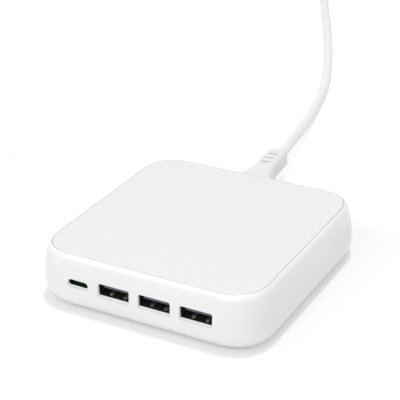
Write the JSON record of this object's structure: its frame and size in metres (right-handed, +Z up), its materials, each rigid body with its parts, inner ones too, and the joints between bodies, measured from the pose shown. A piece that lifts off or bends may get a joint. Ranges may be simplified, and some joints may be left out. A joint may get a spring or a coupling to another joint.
{
  "type": "usb mains charger",
  "caption": "Flat square desktop mains charger with soft corners, USB sockets in its front edge and a plug-in lead that ends in a two-pin plug.",
  "frame": {"origin": "on the floor, under the middle of the housing", "axes": "+Z up, the sockets face -Y, the mains lead leaves towards +Y, +X to the right when the sockets are faced"},
  "size_m": [0.1725, 0.4946, 0.023],
  "materials": {
    "housing_gloss": "polished white moulding",
    "lid_satin": "fine satin white moulding",
    "foot_rubber": "soft pale rubber",
    "board_laminate": "solder-masked glass laminate",
    "screw_steel": "plated steel",
    "shell_steel": "nickel-plated sheet",
    "tongue_plastic": "dark glass-filled plastic",
    "usb_c_tongue_plastic": "dark laminate",
    "contact_gold": "gold-plated strip",
    "inlet_plastic": "white moulding",
    "pin_nickel": "nickel-plated brass",
    "ferrite": "sintered ferrite",
    "bobbin_plastic": "black bobbin plastic",
    "winding_tape": "winding under yellow tape",
    "copper_wire": "enamelled copper wire",
    "can_sleeve": "sleeved aluminium can",
    "output_can": "bare aluminium can",
    "box_capacitor": "epoxy-filled box",
    "black_epoxy": "moulded epoxy",
    "sink_aluminium": "plain extruded aluminium",
    "connector_plastic": "satin flexible moulding",
    "lead_jacket": "smooth flexible jacket",
    "tie_plastic": "soft white strap"
  },
  "bodies": {
    "root": {"housing": "housing_gloss", "lid": "lid_satin", "foot_front_left": "foot_rubber", "foot_front_right": "foot_rubber", "foot_rear_left": "foot_rubber", "foot_rear_right": "foot_rubber", "main_board": "board_laminate", "port_board": "board_laminate", "board_screws": "screw_steel", "usb_c_shell": "shell_steel", "usb_c_tongue": "usb_c_tongue_plastic", "usb_c_contacts": "contact_gold", "inlet_moulding": "inlet_plastic", "inlet_pins": "pin_nickel", "transformer_core": "ferrite", "transformer_bobbin": "bobbin_plastic", "transformer_winding": "winding_tape", "bulk_capacitor_left": "can_sleeve", "bulk_capacitor_right": "can_sleeve", "output_capacitor_front": "output_can", "output_capacitor_rear": "output_can", "line_choke_core": "ferrite", "line_choke_winding": "copper_wire", "output_choke_core": "ferrite", "output_choke_winding": "copper_wire", "suppression_capacitor": "box_capacitor", "fuse": "black_epoxy", "bridge_rectifier": "black_epoxy", "heat_sink": "sink_aluminium", "switching_transistor": "black_epoxy", "connector_body": "connector_plastic", "connector_sockets": "contact_gold", "mains_lead": "lead_jacket", "lead_coil": "lead_jacket", "lead_tail": "lead_jacket", "coil_tie": "tie_plastic", "plug_body": "connector_plastic", "plug_pins": "pin_nickel", "pin_sleeves": "connector_plastic", "usb_a_shell_1": "shell_steel", "usb_a_tongue_1": "tongue_plastic", "usb_a_contacts_1": "contact_gold", "usb_a_shell_2": "shell_steel", "usb_a_tongue_2": "tongue_plastic", "usb_a_contacts_2": "contact_gold", "usb_a_shell_3": "shell_steel", "usb_a_tongue_3": "tongue_plastic", "usb_a_contacts_3": "contact_gold"}
  },
  "joints": []
}
